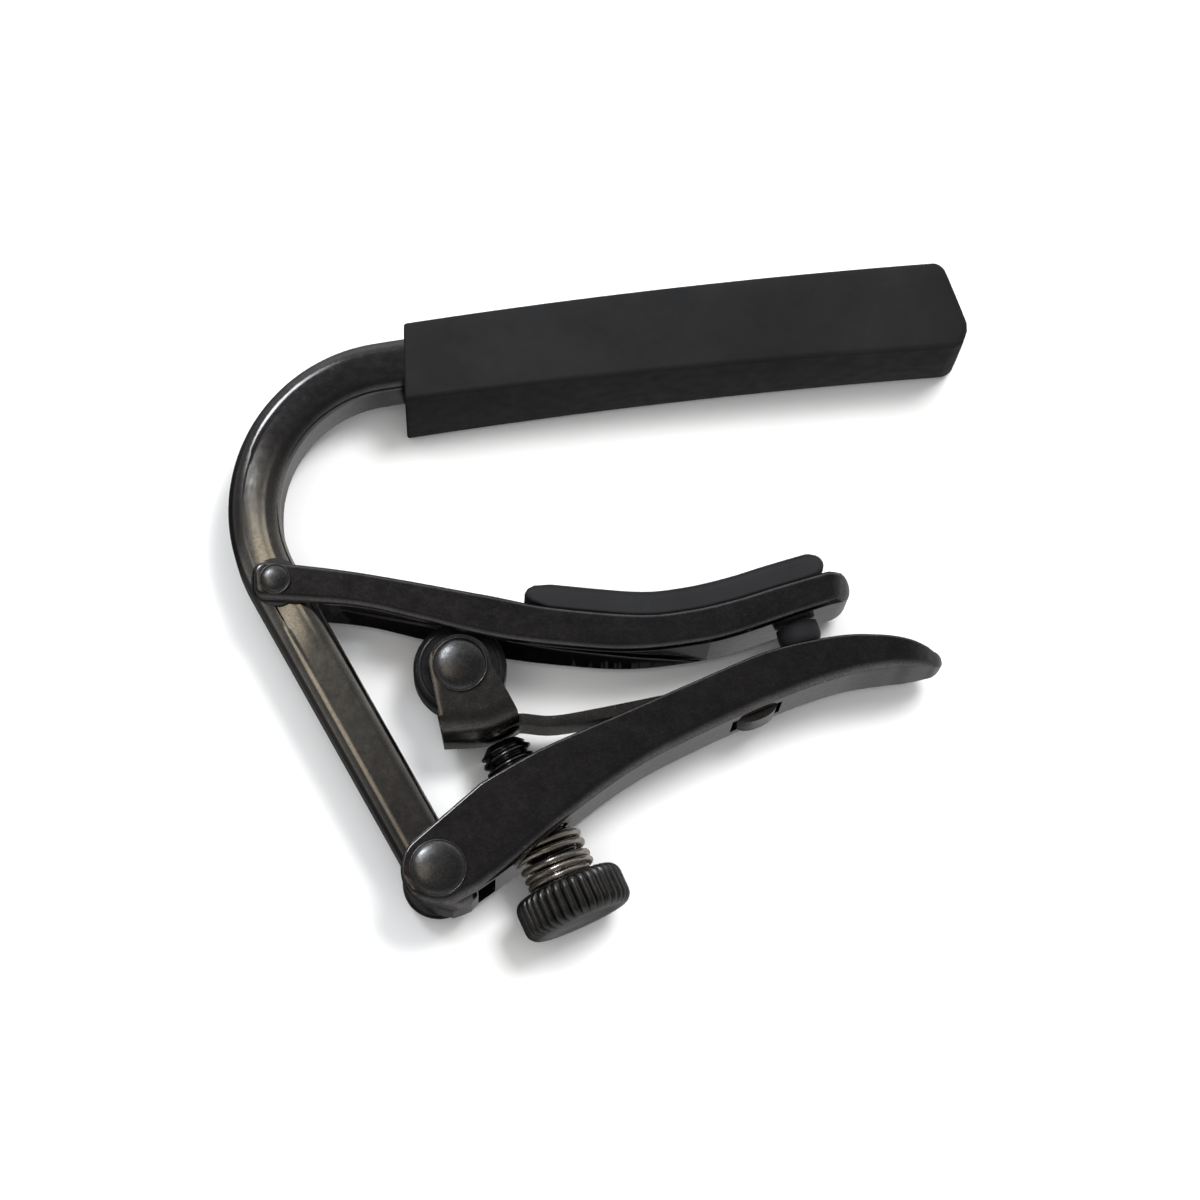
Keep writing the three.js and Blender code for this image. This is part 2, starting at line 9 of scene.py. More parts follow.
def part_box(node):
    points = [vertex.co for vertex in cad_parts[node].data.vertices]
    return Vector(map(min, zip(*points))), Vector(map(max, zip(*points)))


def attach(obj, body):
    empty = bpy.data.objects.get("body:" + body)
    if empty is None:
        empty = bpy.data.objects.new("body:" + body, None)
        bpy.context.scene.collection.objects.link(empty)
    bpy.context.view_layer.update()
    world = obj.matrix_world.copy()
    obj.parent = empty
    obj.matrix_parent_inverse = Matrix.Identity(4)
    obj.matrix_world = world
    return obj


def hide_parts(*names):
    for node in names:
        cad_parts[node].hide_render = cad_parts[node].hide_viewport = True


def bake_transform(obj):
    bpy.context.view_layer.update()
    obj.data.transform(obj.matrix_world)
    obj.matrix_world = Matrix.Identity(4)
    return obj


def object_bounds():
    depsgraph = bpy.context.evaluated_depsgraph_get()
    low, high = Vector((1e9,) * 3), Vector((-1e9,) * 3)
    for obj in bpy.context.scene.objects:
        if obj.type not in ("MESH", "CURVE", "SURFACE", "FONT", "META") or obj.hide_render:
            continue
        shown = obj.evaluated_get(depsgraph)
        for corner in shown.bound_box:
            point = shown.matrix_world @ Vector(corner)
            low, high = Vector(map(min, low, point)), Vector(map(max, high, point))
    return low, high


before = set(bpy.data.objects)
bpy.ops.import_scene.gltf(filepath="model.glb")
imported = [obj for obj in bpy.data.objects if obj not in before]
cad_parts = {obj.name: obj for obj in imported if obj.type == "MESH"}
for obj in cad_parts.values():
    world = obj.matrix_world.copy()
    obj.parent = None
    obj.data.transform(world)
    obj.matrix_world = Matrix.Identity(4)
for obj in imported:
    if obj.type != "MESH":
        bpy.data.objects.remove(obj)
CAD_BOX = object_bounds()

# A lever guitar capo that lies on its side. Shapes are drawn in millimetres in the capo's own
# plane, with z = 0 half-way through its thickness, and are then moved into the frame's metres.

# ---- driving sizes, in millimetres -------------------------------------------------
ARM_PIVOT = np.array([-34.4, 1.9])
LEVER_PIVOT = np.array([-16.9, -28.9])
ROLLER_CENTRE = np.array([-14.8, -6.9])
SLOT_CENTRE = np.array([16.9, -11.55])

BAR_HALF = 4.0
BAR_THICK = 5.67
BAR_EDGE = 1.35
BAR_OUTER_EDGE = 1.5
BEND_RADIUS = 15.7
BEND_START = -0.9
ARCH_RADIUS = 722.0
ARCH_ANGLE = math.radians(9.8)
BAR_LENGTH = 60.0
BAR_TAIL = 4.6

SLEEVE_START = 3.1
SLEEVE_LENGTH = 60.6
SLEEVE_HALF = 6.3
SLEEVE_TOP = 3.85
SLEEVE_BOTTOM = -6.35

CHANNEL_HALF = 4.55
ARM_HALF = 5.6
CLEVIS_END = 6.6
GROOVE_ROOF = 2.2
PAD_HALF = 4.7
LEVER_HALF = 6.0
WEB_THICK = 1.7
SLOT_LENGTH = 5.3
SLOT_SPARE_LEFT = 0.35  # past the CAD's slot, where the bracket's tail swings as the screw backs out
SLOT_SPARE_RIGHT = 0.12
TAIL_HALF = 2.65
SHEET = 1.2
FORK_HALF = 4.2
FOLD_RADIUS = 3.4
FOLD_DROP = 0.25  # how much lower the fold is drawn than in the CAD; the screw's tip is cut back by it

SCREW_TIP = np.array([-10.45, -14.35])
SCREW_LENGTH = 16.3
SCREW_RADIUS = 2.8
KNOB_FOOT = SCREW_LENGTH + 0.3
PITCH = 1.0
KNOB_RADIUS = 5.98
KNOB_LENGTH = 4.6
KNOB_RIDGES = 36
SPRING_RADIUS = 3.45
SPRING_WIRE = 0.38
SPRING_SEAT = 11.0

ARM_BORE = 1.35
LEVER_BORE = 2.15
ROLLER_BORE = 1.75

MM = 0.001


def unit(v):
    return v / np.linalg.norm(v)


SHANK = unit(LEVER_PIVOT - ARM_PIVOT)
SHANK_IN = np.array([-SHANK[1], SHANK[0]])
SCREW_AXIS = unit(np.array([0.41, -0.91]))
OUT_OF_SLOT = unit(np.array([0.4, -0.92]))
ALONG_SLOT = np.array([-OUT_OF_SLOT[1], OUT_OF_SLOT[0]])

rivet_low, rivet_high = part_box("arm_rivet")
PLAN_ORIGIN = (rivet_low + rivet_high) / 2 - Vector((*ARM_PIVOT, 0)) * MM
TO_FRAME = Matrix.Translation(PLAN_ORIGIN) @ Matrix.Scale(MM, 4)


# ---- lines in the plan ---------------------------------------------------------------
def through(points, steps):
    """A smooth line through the points."""
    points = np.array(points, float)
    last = len(points) - 1
    line = []
    for place in np.linspace(0, last, steps + 1):
        k = min(int(place), last - 1)
        w = place - k
        before, here, there, after = points[[max(k - 1, 0), k, k + 1, min(k + 2, last)]]
        leave, arrive = (there - before) / 2, (after - here) / 2
        cubic = 2 * here - 2 * there + leave + arrive
        square = -3 * here + 3 * there - 2 * leave - arrive
        line.append(cubic * w**3 + square * w**2 + leave * w + here)
    return np.array(line)


def evenly(points, count):
    """The same line with `count` points at equal distances."""
    points = np.array(points, float)
    run = np.concatenate([[0], np.cumsum(np.linalg.norm(np.diff(points, axis=0), axis=1))])
    at = np.linspace(0, run[-1], count)
    return np.stack([np.interp(at, run, column) for column in points.T], axis=1)


def arc(centre, radius, start, end, steps=12):
    """Points round a centre, from `start` to `end` degrees. `radius` may be a pair."""
    turn = np.radians(np.linspace(start, end, steps + 1))
    rx, ry = radius if isinstance(radius, tuple) else (radius, radius)
    return np.stack([centre[0] + rx * np.cos(turn), centre[1] + ry * np.sin(turn)], axis=1)


def beside(points, distance):
    """The line moved sideways, to the left of its travel."""
    travel = np.gradient(np.array(points, float), axis=0)
    travel /= np.linalg.norm(travel, axis=1)[:, None]
    return points + distance * np.stack([-travel[:, 1], travel[:, 0]], axis=1)


def joined(*lines):
    return np.concatenate([np.atleast_2d(np.array(line, float)) for line in lines])


# ---- meshes --------------------------------------------------------------------------
def mesh_object(name, points, faces):
    mesh = bpy.data.meshes.new(name)
    mesh.from_pydata([tuple(p) for p in points], [], faces)
    work = bmesh.new()
    work.from_mesh(mesh)
    bmesh.ops.recalc_face_normals(work, faces=work.faces)
    work.to_mesh(mesh)
    work.free()
    made = bpy.data.objects.new(name, mesh)
    bpy.context.scene.collection.objects.link(made)
    return made


def ring_faces(rings, around, closed=False):
    """Quads between rings of `around` points each, and from the last to the first if closed."""
    faces = []
    for j in range(rings if closed else rings - 1):
        a, b = j * around, (j + 1) % rings * around
        for i in range(around):
            k = (i + 1) % around
            faces.append((a + i, a + k, b + k, b + i))
    return faces


def slab(name, top, bottom, low, high, edge=0.0, taper=None, rim_steps=5):
    """A solid between two lines of equal length, with rounded rims.

    `edge` is one radius or a pair, for the rims along the top line and the bottom line.
    `taper` gives, from x, the share of the width that is left.
    """
    loop = np.concatenate([top, bottom[::-1]])
    count, half_count = len(loop), len(top)
    travel = np.roll(loop, -1, axis=0) - np.roll(loop, 1, axis=0)
    travel /= np.linalg.norm(travel, axis=1)[:, None]
    inward = np.stack([travel[:, 1], -travel[:, 0]], axis=1)
    upper, lower = edge if isinstance(edge, tuple) else (edge, edge)
    radius = np.concatenate([np.full(half_count, upper), np.full(half_count, lower)])
    radius = sum(np.roll(radius, k) for k in range(-6, 7)) / 13
    thick = np.linalg.norm(top - bottom, axis=1)
    room = 0.4 * np.array([thick[max(k - 2, 0):k + 3].max() for k in range(half_count)])
    radius = np.minimum(radius, np.concatenate([room, room[::-1]]))
    turns = np.linspace(0, math.pi / 2, rim_steps + 1) if upper + lower > 0 else [0.0]
    rim = [(radius * (1 - math.cos(a)), radius * (1 - math.sin(a))) for a in turns]
    levels = [(inset, low + depth) for inset, depth in rim[::-1]]
    levels += [(inset, high - depth) for inset, depth in rim]
    middle = (low + high) / 2
    points = []
    for inset, z in levels:
        flat = loop + inward * inset[:, None]
        share = taper(flat[:, 0]) if taper else 1.0
        points.append(np.column_stack([flat, middle + (z - middle) * share]))
    faces = ring_faces(len(levels), count)
    last = (len(levels) - 1) * count
    for base in (0, last):
        for k in range(half_count - 1):
            faces.append((base + k, base + k + 1, base + count - 2 - k, base + count - 1 - k))
    return mesh_object(name, np.concatenate(points), faces)


def prism(name, outline, low, high):
    """A solid with flat ends and any outline."""
    outline = np.array(outline, float)
    count = len(outline)
    points = [(*p, z) for z in (low, high) for p in outline]
    faces = ring_faces(2, count) + [tuple(range(count)), tuple(range(count, 2 * count))]
    return mesh_object(name, points, faces)


def strip(origin, along, start, end, low, high):
    """A rectangle whose long side leaves `origin` along a direction."""
    side = np.array([-along[1], along[0]])
    corners = ((start, low), (end, low), (end, high), (start, high))
    return [origin + along * a + side * b for a, b in corners]


def loft(name, rings):
    """A skin over rings of points, closed by a flat face at each end."""
    around = len(rings[0])
    faces = ring_faces(len(rings), around)
    last = (len(rings) - 1) * around
    faces += [tuple(range(around)), tuple(range(last, last + around))]
    return mesh_object(name, np.concatenate(rings), faces)


def lathe(name, profile, place, sides=64, shape=None):
    """A turned solid. `profile` is (radius, height) from axis to axis, or a closed ring.

    `shape` gives a radius from (radius, angle), for ridges.
    """
    ring = profile[0][0] > 0
    turn = np.linspace(0, 2 * math.pi, sides, endpoint=False)
    points, rings = [], []
    for radius, height in profile:
        if radius <= 0:
            rings.append([len(points)] * sides)
            points.append((0, 0, height))
            continue
        around = shape(radius, turn) if shape else np.full(sides, radius)
        rings.append(list(range(len(points), len(points) + sides)))
        points += [(r * math.cos(t), r * math.sin(t), height) for r, t in zip(around, turn)]
    faces = []
    pairs = list(zip(rings, rings[1:])) + ([(rings[-1], rings[0])] if ring else [])
    for below, above in pairs:
        for i in range(sides):
            k = (i + 1) % sides
            corners = [below[i], below[k], above[k], above[i]]
            faces.append(tuple(dict.fromkeys(corners)))
    made = mesh_object(name, points, faces)
    made.data.transform(place)
    return made


def upright(centre):
    return Matrix.Translation((*centre, 0))


def on_screw(distance):
    """Places a turned piece on the screw's axis, its foot `distance` from the screw's tip."""
    start = SCREW_TIP + SCREW_AXIS * distance
    axis = Vector((*SCREW_AXIS, 0))
    side = Vector((-axis.y, axis.x, 0))
    turn = Matrix((side, axis.cross(side), axis)).transposed()
    return Matrix.Translation((*start, 0)) @ turn.to_4x4()


def applied(piece):
    """Makes the piece's modifiers part of its mesh."""
    bpy.context.view_layer.update()
    graph = bpy.context.evaluated_depsgraph_get()
    mesh = bpy.data.meshes.new_from_object(piece.evaluated_get(graph))
    piece.modifiers.clear()
    piece.data = mesh
    return piece


def carved(piece, cutter, operation="DIFFERENCE"):
    cut = piece.modifiers.new("cut", "BOOLEAN")
    cut.operation = operation
    cut.solver = "MANIFOLD"
    cut.object = cutter
    applied(piece)
    bpy.data.objects.remove(cutter)
    return piece


def eased(piece, width, degrees=38, segments=3):
    """Rounds the edges that are sharper than an angle."""
    work = bmesh.new()
    work.from_mesh(piece.data)
    bmesh.ops.remove_doubles(work, verts=work.verts, dist=0.004)
    bmesh.ops.dissolve_degenerate(work, edges=work.edges, dist=0.002)
    work.to_mesh(piece.data)
    work.free()
    bevel = piece.modifiers.new("ease", "BEVEL")
    bevel.width = width
    bevel.segments = segments
    bevel.limit_method = "ANGLE"
    bevel.angle_limit = math.radians(degrees)
    bevel.miter_outer = "MITER_ARC"
    return applied(piece)


def bored(piece, centre, radius, half=12.0):
    profile = [(0, -half), (radius, -half), (radius, half), (0, half)]
    return carved(piece, lathe("bore", profile, upright(centre)))


def placed(piece, body, slot, material, *nodes, smooth_degrees=30):
    """Puts a finished piece into the frame, on its body, in place of its CAD nodes."""
    piece.data.transform(TO_FRAME)
    piece.data.update()
    piece.data.materials.clear()
    piece.data.materials.append(material)
    piece.data.shade_smooth()
    piece.data.set_sharp_from_angle(angle=math.radians(smooth_degrees))
    normals = piece.modifiers.new("even_normals", "WEIGHTED_NORMAL")
    normals.keep_sharp = True
    if body:
        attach(piece, body)
    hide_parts(*nodes)
    return piece


# ---- materials -----------------------------------------------------------------------
class Paint:
    """A small helper that adds nodes to one material."""

    def __init__(self, name):
        self.material = bpy.data.materials.new(name)
        self.material.use_nodes = True
        self.tree = self.material.node_tree
        self.shader = self.tree.nodes["Principled BSDF"]
        self.place = self.add("ShaderNodeTexCoord").outputs["Object"]

    def add(self, kind, **values):
        node = self.tree.nodes.new(kind)
        for key, value in values.items():
            if hasattr(node, key):
                setattr(node, key, value)
            else:
                node.inputs[key].default_value = value
        return node

    def link(self, output, target):
        self.tree.links.new(output, target)

    def fixed(self, **values):
        for key, value in values.items():
            self.shader.inputs[key.replace("_", " ")].default_value = value

    def noise(self, scale, detail=4.0, rough=0.55, stretch=None, distortion=0.0):
        """Noise at `scale` grains per metre."""
        node = self.add("ShaderNodeTexNoise", Scale=scale, Detail=detail)
        node.inputs["Roughness"].default_value = rough
        node.inputs["Distortion"].default_value = distortion
        source = self.place
        if stretch:
            mapping = self.add("ShaderNodeMapping")
            mapping.inputs["Scale"].default_value = stretch
            self.link(source, mapping.inputs["Vector"])
            source = mapping.outputs["Vector"]
        self.link(source, node.inputs["Vector"])
        return node.outputs["Fac"]

    def ramp(self, value, *stops):
        """Turns a value into a colour or a number, through (place, colour) stops."""
        node = self.add("ShaderNodeValToRGB")
        node.color_ramp.interpolation = "EASE"
        elements = node.color_ramp.elements
        while len(elements) < len(stops):
            elements.new(0.5)
        for element, (place, colour) in zip(elements, stops):
            element.position = place
            grey = colour if isinstance(colour, tuple) else (colour, colour, colour)
            element.color = (*grey, 1)
        self.link(value, node.inputs["Fac"])
        return node.outputs["Color"]

    def maths(self, operation, *values):
        node = self.add("ShaderNodeMath", operation=operation)
        for socket, value in zip(node.inputs, values):
            if isinstance(value, float):
                socket.default_value = value
            else:
                self.link(value, socket)
        return node.outputs["Value"]

    def mix(self, share, first, second, blend="MIX"):
        node = self.add("ShaderNodeMix", data_type="RGBA", blend_type=blend)
        if isinstance(share, float):
            node.inputs[0].default_value = share
        else:
            self.link(share, node.inputs[0])
        for socket, value in zip((node.inputs[6], node.inputs[7]), (first, second)):
            if isinstance(value, tuple):
                socket.default_value = (*value, 1)
            else:
                self.link(value, socket)
        return node.outputs[2]

    def bump(self, height, strength, distance):
        node = self.add("ShaderNodeBump", Strength=strength, Distance=distance)
        self.link(height, node.inputs["Height"])
        if self.shader.inputs["Normal"].links:
            self.link(self.shader.inputs["Normal"].links[0].from_socket, node.inputs["Normal"])
        self.link(node.outputs["Normal"], self.shader.inputs["Normal"])


def smoky_chrome(name, tint, roughness, sheen_tint=None, peel=0.00001, contrast=0.22):
    """Black chrome: dark mirror metal with faint clouds, fine grain and sparse light specks.

    The fourth argument is the tint of a painted warm reflection, a sheen laid into the colour on the lower
    bend and the shank, away from the bend's outer edge.
    """
    paint = Paint(name)
    paint.fixed(Metallic=1.0)
    cloud = paint.noise(420, 6, 0.6)
    colour = paint.ramp(cloud, (0.3, tuple(c * 0.86 for c in tint)), (0.7, tuple(c * 1.12 for c in tint)))
    # Painted sheen: a lighter, warmer colour laid by position on the lower bend and the shank, where a warm
    # reflection falls.
    if sheen_tint:
        split = paint.add("ShaderNodeSeparateXYZ")
        paint.link(paint.place, split.inputs["Vector"])
        height = paint.maths("MULTIPLY_ADD", split.outputs["Y"], 10.0, 0.5)
        sheen_mask = paint.ramp(height, (0.19, 0.15), (0.42, 1.0), (0.56, 1.0), (0.68, 0.0))
        inside = paint.maths("MULTIPLY_ADD", split.outputs["X"], 100.0, 4.0)
        sheen_mask = paint.maths("MULTIPLY", sheen_mask, paint.ramp(inside, (0.13, 0.05), (0.25, 1.0)))
        sheen_streaks = paint.noise(520, 6, 0.6, stretch=(1.0, 0.5, 1.0))
        dark, light = (tuple(c * k for c in sheen_tint) for k in (0.88, 1.12))
        shade = paint.ramp(sheen_streaks, (0.3, dark), (0.7, light))
        colour = paint.mix(sheen_mask, colour, shade)
    speckle = paint.noise(4600, 2, 0.7)
    colour = paint.mix(1.0, colour, paint.ramp(speckle, (0.3, 1 - contrast), (0.7, 1 + contrast)), "MULTIPLY")
    grains = paint.ramp(paint.noise(2100, 2, 0.5), (0.71, 0.0), (0.8, 0.8))
    colour = paint.mix(grains, colour, tuple(c * 2.6 for c in tint))
    paint.link(colour, paint.shader.inputs["Base Color"])
    wear = paint.noise(1300, 6, 0.65)
    rough = paint.ramp(wear, (0.3, roughness * 0.85), (0.75, roughness * 1.2))
    paint.link(rough, paint.shader.inputs["Roughness"])
    paint.bump(paint.noise(1100, 2, 0.4), 0.22, peel)
    paint.bump(speckle, 0.08, peel * 0.4)
    return paint.material


def moulded_rubber(name, colour, roughness, grain=0.00003):
    """Matt rubber with a fine moulded grain, faint dusty patches and scuffs."""
    paint = Paint(name)
    paint.fixed(Metallic=0.0, Specular_IOR_Level=0.22)
    patches = paint.noise(70, 5, 0.6, distortion=0.4)
    base = paint.ramp(patches, (0.32, tuple(c * 0.86 for c in colour)), (0.7, tuple(c * 1.2 for c in colour)))
    scuffs = paint.ramp(paint.noise(320, 8, 0.72, stretch=(0.35, 1.0, 1.0)), (0.6, 0.0), (0.78, 0.4))
    base = paint.mix(scuffs, base, tuple(c * 1.7 for c in colour))
    paint.link(base, paint.shader.inputs["Base Color"])
    rough = paint.ramp(paint.noise(500, 5), (0.3, roughness * 0.88), (0.75, min(1.0, roughness * 1.12)))
    paint.link(rough, paint.shader.inputs["Roughness"])
    paint.bump(paint.noise(6500, 3, 0.6), 0.4, grain)
    paint.bump(paint.noise(420, 4, 0.5), 0.3, grain * 2)
    return paint.material


def drawn_wire(name, tint, roughness):
    """Bright drawn wire, with fine lines along it and a warm tarnish."""
    paint = Paint(name)
    paint.fixed(Metallic=1.0)
    tarnish = paint.noise(700, 4, 0.6)
    colour = paint.ramp(tarnish, (0.3, tuple(c * 0.6 for c in tint)), (0.7, tint))
    paint.link(colour, paint.shader.inputs["Base Color"])
    rough = paint.ramp(paint.noise(1500, 4), (0.3, roughness * 0.7), (0.75, roughness * 1.4))
    paint.link(rough, paint.shader.inputs["Roughness"])
    paint.bump(paint.noise(5000, 2, 0.5, stretch=(1.0, 0.2, 1.0)), 0.25, 0.000012)
    return paint.material


def satin_plastic(name, colour, roughness):
    """Machined nylon: turning lines and a soft gloss."""
    paint = Paint(name)
    paint.fixed(Metallic=0.0, Specular_IOR_Level=0.5)
    cloud = paint.noise(400, 4)
    base = paint.ramp(cloud, (0.3, tuple(c * 0.85 for c in colour)), (0.7, tuple(c * 1.2 for c in colour)))
    paint.link(base, paint.shader.inputs["Base Color"])
    rough = paint.ramp(paint.noise(1300, 5), (0.3, roughness * 0.8), (0.75, roughness * 1.2))
    paint.link(rough, paint.shader.inputs["Roughness"])
    paint.bump(paint.noise(3800, 3, 0.5), 0.3, 0.00002)
    return paint.material


CHROME = smoky_chrome("black_chrome", (0.158, 0.15, 0.152), 0.2)
BRACKET_CHROME = smoky_chrome("bracket_chrome", (0.2, 0.188, 0.178), 0.24)
# The bar's fourth argument paints a warm reflection, a lighter sheen, onto its lower bend and shank.
BAR_CHROME = smoky_chrome("bar_chrome", (0.155, 0.148, 0.148), 0.2, (0.45, 0.43, 0.395), 0.000002, 0.12)
SATIN = smoky_chrome("satin_black", (0.16, 0.156, 0.156), 0.31, peel=0.000004)
KNOB_BLACK = smoky_chrome("knob_black", (0.13, 0.126, 0.124), 0.32, peel=0.000003)
SLEEVE_RUBBER = moulded_rubber("sleeve_rubber", (0.0115, 0.0115, 0.012), 0.62)
PAD_RUBBER = moulded_rubber("pad_rubber", (0.017, 0.017, 0.0185), 0.5, 0.00002)
NYLON = satin_plastic("roller_nylon", (0.010, 0.010, 0.011), 0.24)
WASHER_NYLON = satin_plastic("washer_nylon", (0.02, 0.02, 0.021), 0.5)
WIRE = drawn_wire("spring_wire", (0.74, 0.68, 0.59), 0.27)
BRONZE = drawn_wire("bushing_bronze", (0.6, 0.42, 0.24), 0.3)


# ---- camera, lights and floor ----------------------------------------------------------
def camera():
    """Looks down on the capo, a little from its lever side."""
    distance = 0.41304
    back = Vector((-111, -857, 3895)).normalized()
    right = Vector((0, 1, 0)).cross(back).normalized()
    up = back.cross(right)
    aim = TO_FRAME @ Vector((0, 0, 5))
    data = bpy.data.cameras.new("camera")
    data.sensor_width = 36.0
    data.lens = 116.85
    data.clip_start = 0.02
    data.clip_end = 20
    made = bpy.data.objects.new("camera", data)
    turn = Matrix((right, up, back)).transposed()
    made.matrix_world = Matrix.Translation(aim + back * distance) @ turn.to_4x4()
    bpy.context.scene.collection.objects.link(made)
    bpy.context.scene.camera = made


def softbox(name, place, size, watts, colour=(1, 1, 1), diffuse=True, glossy=True):
    """A rectangular light that points at the capo."""
    data = bpy.data.lights.new(name, "AREA")
    data.shape = "RECTANGLE"
    data.size, data.size_y = size
    data.energy = watts
    data.color = colour
    made = bpy.data.objects.new(name, data)
    made.location = place
    made.rotation_mode = "QUATERNION"
    made.rotation_quaternion = (-Vector(place)).to_track_quat("-Z", "Y")
    made.visible_diffuse = diffuse
    made.visible_glossy = glossy
    bpy.context.scene.collection.objects.link(made)


def surroundings():
    """A dim ceiling and lighter walls; below, a light that falls off towards the bend's side."""
    world = bpy.data.worlds.new("studio")
    bpy.context.scene.world = world
    world.use_nodes = True
    tree = world.node_tree

    def ramp(value, *stops):
        node = tree.nodes.new("ShaderNodeValToRGB")
        while len(node.color_ramp.elements) < len(stops):
            node.color_ramp.elements.new(0.5)
        for element, (position, grey) in zip(node.color_ramp.elements, stops):
            element.position = position
            element.color = (grey, grey, grey, 1)
        tree.links.new(value, node.inputs["Fac"])
        return node.outputs["Color"]

    place = tree.nodes.new("ShaderNodeTexCoord")
    split = tree.nodes.new("ShaderNodeSeparateXYZ")
    tree.links.new(place.outputs["Generated"], split.inputs["Vector"])
    above = ramp(split.outputs["Z"], (0.0, 0.28), (0.3, 0.2), (0.7, 0.11), (0.93, 0.085))
    sideways = tree.nodes.new("ShaderNodeMath")
    sideways.operation = "MULTIPLY_ADD"
    sideways.inputs[1].default_value = 0.5
    sideways.inputs[2].default_value = 0.5
    tree.links.new(split.outputs["X"], sideways.inputs[0])
    below = ramp(sideways.outputs["Value"], (0.38, 0.05), (0.5, 0.1), (0.56, 0.16), (0.62, 0.38))
    lengthways = tree.nodes.new("ShaderNodeMath")
    lengthways.operation = "MULTIPLY_ADD"
    lengthways.inputs[1].default_value = 0.5
    lengthways.inputs[2].default_value = 0.5
    tree.links.new(split.outputs["Y"], lengthways.inputs[0])
    stops = (0.0, 0.22), (0.12, 0.12), (0.25, 0.0), (0.67, 0.0), (0.85, 0.18), (1.0, 0.5)
    behind = ramp(lengthways.outputs["Value"], *stops)
    horizon = ramp(split.outputs["Z"], (0.0, 0.0), (0.05, 1.0))
    mix = tree.nodes.new("ShaderNodeMix")
    mix.data_type = "RGBA"
    tree.links.new(horizon, mix.inputs[0])
    tree.links.new(below, mix.inputs[6])
    tree.links.new(above, mix.inputs[7])
    total = tree.nodes.new("ShaderNodeMix")
    total.data_type = "RGBA"
    total.blend_type = "ADD"
    total.inputs[0].default_value = 1.0
    tree.links.new(mix.outputs[2], total.inputs[6])
    tree.links.new(behind, total.inputs[7])
    tree.links.new(total.outputs[2], tree.nodes["Background"].inputs["Color"])


def studio():
    bpy.context.scene.view_settings.view_transform = "Standard"
    floor_low, _ = CAD_BOX
    side, gap = 3.0, 0.00005
    corners = [(-side, -side), (side, -side), (side, side), (-side, side)]
    floor = mesh_object("floor", [(*c, floor_low.z - gap) for c in corners], [(0, 1, 2, 3)])
    paint = Paint("floor_paper")
    paint.fixed(Roughness=0.95, Specular_IOR_Level=0.1)
    tone = paint.ramp(paint.noise(30, 4), (0.3, (0.9, 0.9, 0.9)), (0.7, (0.92, 0.92, 0.92)))
    paint.link(tone, paint.shader.inputs["Base Color"])
    floor.data.materials.append(paint.material)
    floor.visible_glossy = False
    surroundings()
    softbox("sky", (0.0, 0.1, 1.2), (1.6, 1.6), 14.5, glossy=False)
    softbox("key", (0.2, 0.2, 0.72), (0.2, 0.2), 4.0, glossy=False)
    softbox("window", (-0.29, 0.34, 0.53), (0.18, 0.18), 1.2, (0.88, 0.94, 1.0))
    softbox("lamp", (-0.25, 0.025, 0.65), (0.25, 0.24), 0.14, (1.0, 0.87, 0.68))


# ---- the bar and its sleeve --------------------------------------------------------------
BEND_CENTRE = ARM_PIVOT + SHANK_IN * BEND_RADIUS + SHANK * BEND_START
ARCH_NORMAL = np.array([-math.sin(ARCH_ANGLE), math.cos(ARCH_ANGLE)])
ARCH_CENTRE = BEND_CENTRE + ARCH_NORMAL * (BEND_RADIUS - ARCH_RADIUS)


def on_arch(distance, height):
    """Points of the arched part, `distance` along it and `height` over its centre line."""
    angle = math.pi / 2 + ARCH_ANGLE - np.asarray(distance, float) / ARCH_RADIUS
    radius = ARCH_RADIUS + np.asarray(height, float)
    x, y = ARCH_CENTRE
    return np.stack([x + radius * np.cos(angle), y + radius * np.sin(angle)], axis=-1)


def section(low, high, half, top, bottom, crown=(0.0, 0.0, 0.0), near=None, corner_steps=7):
    """A rounded rectangle as (height, z) points, with faces that swell by `crown`.

    `top` and `bottom` are the corners' sizes along the height and along z. `crown` is for the
    top face, the bottom face and the two sides. `near` adds to the near side, from 0 at its
    lower edge to 1 at its upper edge.
    """
    (top_h, top_z), (low_h, low_z) = top, bottom
    corners = (
        ((low + low_h, -half + low_z), bottom, 180),
        ((low + low_h, half - low_z), bottom, 90),
        ((high - top_h, half - top_z), top, 0),
        ((high - top_h, -half + top_z), top, -90),
    )
    swells = ((-crown[1], 0), (0, crown[2]), (crown[0], 0), (0, -crown[2]))
    points = []
    rows = [arc(c, r, start + 90, start, corner_steps) for c, r, start in corners]
    if near:
        slope = (near(1.0) - near(0.98)) / (0.02 * (rows[2][0, 0] - rows[1][-1, 0]))
        rows[2][:, 1] += near(1.0) + slope * (rows[2][:, 0] - rows[2][0, 0])
    for k, row in enumerate(rows):
        points += list(row)
        after = rows[(k + 1) % 4][0]
        for t in np.linspace(0, 1, 15 if k == 1 else 6)[1:-1]:
            swell = np.array(swells[k]) * (1 - (2 * t - 1) ** 2)
            if near and k == 1:
                swell[1] += near(t)
            points.append(row[-1] * (1 - t) + after * t + swell)
    return np.array(points)


def bar_section(grow=0.0, low=-BAR_THICK / 2, high=BAR_THICK / 2, half=BAR_HALF, drawn=0.0, swell=0.03):
    """The bar's section. `drawn` is how far bending has drawn in the near face's outer side."""
    most = (high - low) / 2.3
    inner, outer = min(BAR_EDGE + grow, most), min(BAR_OUTER_EDGE + grow, most)

    def near(t):
        ridge = 0.045 * math.exp(-(((t - 0.1) / 0.05) ** 2))
        fall = 0.22 * max(0, (t - 0.35) / 0.65) ** 1.6
        return drawn * (ridge - fall)

    top = (outer, outer * (1 - 0.1 * drawn))
    return section(low - grow, high + grow, half + grow, top, (inner, inner), (0.0, 0.0, swell), near)


